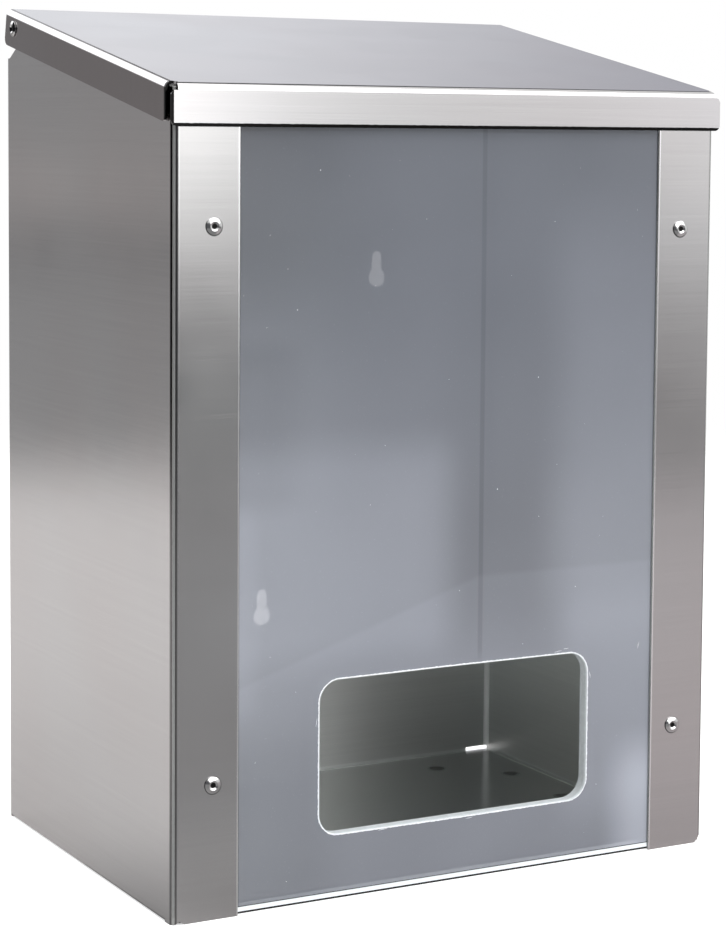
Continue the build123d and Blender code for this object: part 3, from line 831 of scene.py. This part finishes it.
class FinishLid(DispenserOperator):
    """Brushed steel on the lid, with painted shade on the side flanges, at the front left corner and in the top fold,
    and a painted shadow line under the front flange
    """

    bl_idname = "dispenser.finish_lid"
    bl_label = "Finish lid"

    def execute(self, context):
        finish = self.looks.lid
        material, tree, shader, facing, tone = brushed_sheet("lid_brushed", finish, "zyx", "xzy", "xyz")
        # painted shade: the side flanges take a darker copy of the same tone
        side = ramp_between(tree, facing["Side"], 0.90, 0.995)
        light_painted_copy = tint(tree, tone, tuple(a / b for a, b in zip(finish.flange_shade, finish.tone)))
        tone = blend_colour(tree, side, tone, light_painted_copy)
        x, y, z = parts_of(tree, object_place(tree))
        # painted shadow: a ragged dark line along the lower edge of the front flange, for the shadow of the gap under
        # it
        ragged = build(tree, "TexNoise", {"Vector": x, "Scale": 260.0, "Detail": 2.0}).outputs[0]
        line = scale_add(tree, ragged, 0.3 * MM, LID_LOW.z + finish.gap_shadow_height - 0.15 * MM)
        gap_shadow = both(tree, above(tree, facing["Front"], 0.7), below(tree, z, line))
        # painted shade by the open front left corner and round the relief, where the gap and the hole lie in shade
        width = finish.corner_width
        strip = both(tree, below(tree, x, LID_LOW.x + width), below(tree, y, LID_LOW.y + 4 * width))
        high = above(tree, z, LID_LOW.z + finish.relief_height)
        relief = both(tree, below(tree, x, LID_LOW.x + 2.2 * width), below(tree, y, LID_LOW.y + 3.6 * width), high)
        # painted shade in the fold along the top of the front flange
        fold_line = band(tree, y, LID_LOW.y + 2.3 * MM, LID_LOW.y + 2.9 * MM, 0.4 * MM)
        fold_line = both(tree, fold_line, below(tree, facing["Side"], 0.1), high, 0.75)
        tone = blend_colour(tree, fold_line, tone, finish.lid_shade_tone)
        dark = either(tree, gap_shadow, strip, relief)
        paint(tree, shader, blend_colour(tree, dark, tone, finish.lid_shade_tone))
        dress("lid", material)
        return {"FINISHED"}


class FinishFloor(DispenserOperator):
    """Dull steel on the floor plate"""

    bl_idname = "dispenser.finish_floor"
    bl_label = "Finish floor plate"

    def execute(self, context):
        finish = self.looks.floor
        material, tree, shader, _, tone = brushed_sheet("floor_dull", finish, "yzx", "xzy", "xyz")
        x, y, _ = parts_of(tree, object_place(tree))
        aside = minus(tree, calc(tree, "ABSOLUTE", x), FLOOR_HIGH.x - finish.edge_width)
        behind = minus(tree, y, FLOOR_HIGH.y - finish.edge_width)
        edge = ramp_between(tree, either(tree, aside, behind), -0.5 * finish.edge_width, 0.0)
        paint(tree, shader, blend_colour(tree, edge, tone, finish.edge_tone))
        dress("floor_plate", material)
        return {"FINISHED"}


class AddWeldMarks(DispenserOperator):
    """Scorched marks of the spot welds on the floor plate"""

    bl_idname = "dispenser.add_weld_marks"
    bl_label = "Add weld marks"

    def execute(self, context):
        finish = self.looks.floor
        points, share_out = weld_mark_points(WELD_PLACES, FLOOR_HIGH.z, finish.weld_radius, finish.weld_height)
        marks, rings, spokes = share_out.shape
        quads = tube_quads(marks, rings, spokes, closed=False)
        material = scorched_weld(finish)
        add_piece("weld_marks", points.reshape(-1, 3), quads, material, share_out.ravel())
        return {"FINISHED"}


class FinishWindow(DispenserOperator):
    """Haze with painted reflections, highlights and shade, and frosted cut edges on the clear sheet"""

    bl_idname = "dispenser.finish_window"
    bl_label = "Finish window"

    def execute(self, context):
        dress("window", hazy_sheet(self.looks.window))
        return {"FINISHED"}


class ChipCutOut(DispenserOperator):
    """Chips along the edge of the cut-out, and burrs beside it"""

    bl_idname = "dispenser.chip_cut_out"
    bl_label = "Chip cut-out"

    def execute(self, context):
        finish = self.looks.window
        material = frosted_flecks(finish)
        chance = np.random.default_rng(CHIP_SEED)
        count = CHIP_POINTS
        share_round = np.arange(count) / count * tau
        waves = sum(np.sin(k * share_round + p) for k, p in zip((37, 61, 113, 167, 229), chance.uniform(0, tau, 5)))
        width = finish.chip_width * (0.36 + 0.022 * np.clip(waves, -2.4, 3.2))
        loop = rounded_loop(CUT_OUT_LOW, CUT_OUT_HIGH, CUT_OUT_ROUND, count)
        centre = np.array([CUT_OUT_LOW, CUT_OUT_HIGH]).mean(0)
        out = loop - centre
        out /= np.linalg.norm(out, axis=-1, keepdims=True)
        line = (loop + out * (width + 0.05 * MM)[:, None])[None]
        points, quads = ridges(line, width[None], 0.08 * MM, 0.03 * MM, closed=True)
        add_piece("cut_out_chips", points, quads, material)

        burrs = np.array(BURRS)
        rows = np.linspace(0.0, 1.0, 9)
        line = burrs[:, None, :2] + (burrs[:, None, 2:] - burrs[:, None, :2]) * rows[None, :, None]
        line = line + chance.normal(0, 0.05 * MM, line.shape) * np.sin(np.pi * rows)[None, :, None]
        taper = np.sin(np.pi * np.clip(rows, 0.02, 0.98))[None]
        width = 0.09 * MM * taper * chance.uniform(0.6, 1.2, (len(burrs), 1))
        points, quads = ridges(line, width, 0.04 * MM, 0.02 * MM)
        add_piece("cut_out_burrs", points, quads, material)
        return {"FINISHED"}


class ScatterDust(DispenserOperator):
    """Specks of dust on the front of the clear sheet"""

    bl_idname = "dispenser.scatter_dust"
    bl_label = "Scatter dust"

    def execute(self, context):
        finish = self.looks.window
        count = finish.dust_count
        chance = np.random.default_rng(DUST_SEED)
        half = (WINDOW_HIGH.x - WINDOW_LOW.x) / 2 - RETURN_LAP
        spots = np.stack([chance.uniform(-half, half, 4 * count), chance.uniform(*DUST_HEIGHTS, 4 * count)], -1)
        low, high = np.array(CUT_OUT_LOW) - 2 * MM, np.array(CUT_OUT_HIGH) + 2 * MM
        clear = ~np.all((spots > low) & (spots < high), axis=-1)
        spots = spots[clear][:count]
        size = finish.dust_radius * chance.uniform(0.25, 1.0, len(spots)) ** 2
        share_out = np.array([1e-3, 0.6, 1.0])
        turn = np.linspace(0.0, tau, 7, endpoint=False)
        r, a = np.meshgrid(share_out, turn, indexing="ij")
        long = chance.uniform(0.6, 1.6, len(spots))
        x = spots[:, 0, None, None] + size[:, None, None] * r * np.cos(a)
        z = spots[:, 1, None, None] + (size * long)[:, None, None] * r * np.sin(a)
        y = WINDOW_LOW.y - size[:, None, None] * (0.5 * (1 - r**2) - 0.05)
        points = np.stack([x, y, z], -1).reshape(-1, 3)
        quads = tube_quads(len(spots), len(share_out), len(turn), closed=False)
        add_piece("window_dust", points, quads, frosted_flecks(finish))
        return {"FINISHED"}


class FinishRivets(DispenserOperator):
    """Polished heads, stems painted dark for the shade in their holes, and bright washers on all fasteners"""

    bl_idname = "dispenser.finish_rivets"
    bl_label = "Finish rivets"

    def execute(self, context):
        finish = self.looks.rivets
        # painted shade: the stems are painted dark for the shade in their holes
        stem = speckled_metal("rivet_stem", finish.stem_shade_tone, finish.stem_roughness, 0.9)[0]
        washer = speckled_metal("washer_bright", finish.washer_tone, finish.washer_roughness, 0.9)[0]
        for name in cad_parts:
            if "mandrel" in name:
                dress(name, stem)
            elif "rivet" in name:
                dress(name, rivet_metal(name, finish))
            elif "washer" in name:
                dress(name, washer)
        return {"FINISHED"}


@cache
def studio_card_group():
    """Mask of a soft-edged card in the room: a smooth step of the sideways angle times one of the rise."""
    sockets = {"Direction": "vector", "Facing": "vector", **dict.fromkeys(CARD_ANGLES, "float")}
    group, entry, leave = new_group("studio_card", sockets, {"Mask": "float"})
    flat = vector_calc(group, "NORMALIZE", vector_calc(group, "MULTIPLY", entry["Direction"], (1.0, 1.0, 0.0)))
    aside = build(group, "VectorMath", {0: flat, 1: entry["Facing"]}, operation="DOT_PRODUCT").outputs["Value"]
    turned = calc(group, "ARCCOSINE", calc(group, "MINIMUM", aside, 0.99999))
    outer = calc(group, "ADD", entry["Half width"], entry["Side softness"])
    sideways = ramp_between(group, turned, outer, entry["Half width"])
    rise = calc(group, "ARCSINE", parts_of(group, entry["Direction"])[2])
    lower = minus(group, entry["Low"], entry["Rise softness"])
    upper = calc(group, "ADD", entry["High"], entry["Rise softness"])
    over = ramp_between(group, rise, lower, entry["Low"])
    under = ramp_between(group, rise, upper, entry["High"])
    feed(group, leave["Mask"], both(group, sideways, over, under))
    return group


def studio_world():
    """White room. Cards stand before it for all rays but the camera's, the later ones over the earlier ones."""
    world = bpy.data.worlds.new("studio")
    world.use_nodes = True
    tree = world.node_tree
    tree.nodes.clear()
    direction = build(tree, "TexCoord").outputs["Generated"]
    rays = build(tree, "LightPath").outputs
    seen = either(tree, rays["Is Camera Ray"], rays["Is Transmission Ray"], rays["Is Glossy Ray"])
    light = blend_colour(tree, seen, (0.5, 0.5, 0.5), WHITE)
    hidden = minus(tree, 1.0, rays["Is Camera Ray"])
    for _, azimuth, *angles, radiance in STUDIO_CARDS:
        facing = (sin(radians(azimuth)), -cos(radians(azimuth)), 0.0)
        reach = dict(zip(CARD_ANGLES, map(radians, angles)))
        mask = place(tree, studio_card_group(), Direction=direction, Facing=facing, **reach)["Mask"]
        light = blend_colour(tree, both(tree, mask, hidden), light, radiance)
    back = build(tree, "Background", {"Color": light, "Strength": 1.0})
    build(tree, "OutputWorld", {"Surface": back.outputs[0]})
    return world


def stage_floor(studio):
    """Pale disc under the dispenser. It fades out at its rim, and it brings itself to white for the camera."""
    rings, spokes = 24, 96
    radius = np.linspace(0.0, 1.0, rings) ** 1.5 * studio.floor_radius
    turn = np.linspace(0.0, tau, spokes, endpoint=False)
    r, a = np.meshgrid(radius[1:], turn, indexing="ij")
    points = np.stack([r * np.cos(a), r * np.sin(a), np.zeros_like(r)], -1).reshape(-1, 3)
    points = np.vstack([points, np.zeros((1, 3))])
    first = np.arange(spokes)
    after = (first + 1) % spokes
    fan = np.stack([first, after, np.full(spokes, len(points) - 1)], -1)
    quads = tube_quads(1, rings - 1, spokes, closed=False)
    mesh = bpy.data.meshes.new("stage_floor")
    mesh.from_pydata(points.tolist(), [], fan.tolist() + quads.tolist())
    floor = show("stage_floor", mesh)

    material, tree, shader = new_material("stage_floor")
    spot = object_place(tree)
    far = build(tree, "VectorMath", {0: spot}, operation="LENGTH").outputs["Value"]
    fade = ramp_between(tree, far, studio.floor_radius * 0.98, studio.floor_radius * 0.6)
    rays = build(tree, "LightPath").outputs
    x, y, _ = parts_of(tree, spot)
    ahead = ramp_between(tree, y, 0.06, -0.12)
    aside = ramp_between(tree, scale_add(tree, y, 0.46, x), -0.06, 0.06)
    near = ramp_between(tree, far, 0.28, 0.15)
    shade = blend_colour(tree, near, studio.front_shade, studio.near_shade)
    shade = blend_colour(tree, aside, shade, studio.right_shade)
    shade = blend_colour(tree, ahead, studio.back_shade, shade)
    shade = blend_colour(tree, rays["Is Glossy Ray"], WHITE, shade)
    paint(tree, shader, tint(tree, studio.floor_tone, shade), 0.9)
    shader.inputs["Specular IOR Level"].default_value = 0.0
    seen = either(tree, rays["Is Camera Ray"], rays["Is Transmission Ray"])
    glossy = both(tree, rays["Is Glossy Ray"], minus(tree, 1.0, ahead), GLOSSY_GLOW)
    glow = scale_add(tree, seen, SEEN_GLOW, glossy)
    feed(tree, shader.inputs["Alpha"], fade)
    shader.inputs["Emission Color"].default_value = opaque(WHITE)
    feed(tree, shader.inputs["Emission Strength"], glow)
    mesh.materials.append(material)


def add_lamp(name, place_at, aim, size, watts):
    """Rectangular soft lamp that faces its aim. The camera doesn't see it."""
    lamp = bpy.data.lights.new(name, "AREA")
    lamp.shape = "RECTANGLE"
    lamp.size, lamp.size_y = size
    lamp.energy = watts
    holder = show(name, lamp)
    holder.location = place_at
    holder.rotation_euler = (Vector(aim) - Vector(place_at)).to_track_quat("-Z", "Y").to_euler()
    holder.visible_camera = False


def add_camera(studio):
    """Camera at a place, turned by heading, pitch and roll, with a small lens shift."""
    camera = bpy.data.cameras.new("view")
    camera.sensor_width = 36.0
    camera.lens = studio.lens
    camera.shift_x = studio.shift_right
    camera.shift_y = studio.shift_up
    camera.clip_start = 0.05
    camera.clip_end = 50.0
    holder = show("view", camera)
    turn = Matrix.Rotation(-studio.heading, 4, "Z") @ Matrix.Rotation(radians(90) + studio.pitch, 4, "X")
    holder.matrix_world = Matrix.Translation(studio.camera_place) @ turn @ Matrix.Rotation(studio.roll, 4, "Z")
    bpy.context.scene.camera = holder


class BuildStage(DispenserOperator):
    """Pale floor, studio light and camera"""

    bl_idname = "dispenser.build_stage"
    bl_label = "Build stage"

    def execute(self, context):
        studio = self.looks.studio
        scene = context.scene
        scene.view_settings.view_transform = "Standard"
        scene.world = studio_world()
        stage_floor(studio)
        add_lamp("top_lamp", (-0.2, 0.1, 1.6), (0.0, 0.0, 0.1), (1.4, 1.2), 6.0)
        add_lamp("front_lamp", (0.5, -1.6, 0.9), (0.0, 0.0, 0.15), (0.8, 0.8), 2.0)
        add_camera(studio)
        return {"FINISHED"}


STEPS = (
    FinishHousing,
    FinishLid,
    FinishFloor,
    AddWeldMarks,
    FinishWindow,
    ChipCutOut,
    ScatterDust,
    FinishRivets,
    BuildStage,
)


class DispenserPanel(bpy.types.Panel):
    """Sizes, colours and steps of the dispenser's looks"""

    bl_label = "Glove dispenser"
    bl_idname = "VIEW3D_PT_dispenser"
    bl_space_type = "VIEW_3D"
    bl_region_type = "UI"
    bl_category = "Dispenser"

    def draw(self, context):
        looks = context.scene.dispenser_looks
        for part in ("housing", "lid", "floor", "window", "rivets", "studio"):
            box = self.layout.box()
            box.label(text=part.capitalize())
            values = getattr(looks, part)
            for name in values.__annotations__:
                box.prop(values, name)
        for step in STEPS:
            self.layout.operator(step.bl_idname)


GROUPS = (HousingFinish, LidFinish, FloorFinish, WindowFinish, RivetFinish, Studio, DispenserLooks)


def register():
    for kind in (*GROUPS, *STEPS, DispenserPanel):
        bpy.utils.register_class(kind)
    bpy.types.Scene.dispenser_looks = PointerProperty(type=DispenserLooks)


def unregister():
    del bpy.types.Scene.dispenser_looks
    for kind in reversed((*GROUPS, *STEPS, DispenserPanel)):
        bpy.utils.unregister_class(kind)


def main():
    register()
    bpy.ops.dispenser.finish_housing()
    bpy.ops.dispenser.finish_lid()
    bpy.ops.dispenser.finish_floor()
    bpy.ops.dispenser.add_weld_marks()
    bpy.ops.dispenser.finish_window()
    bpy.ops.dispenser.chip_cut_out()
    bpy.ops.dispenser.scatter_dust()
    bpy.ops.dispenser.finish_rivets()
    bpy.ops.dispenser.build_stage()


if __name__ == "__main__":
    main()
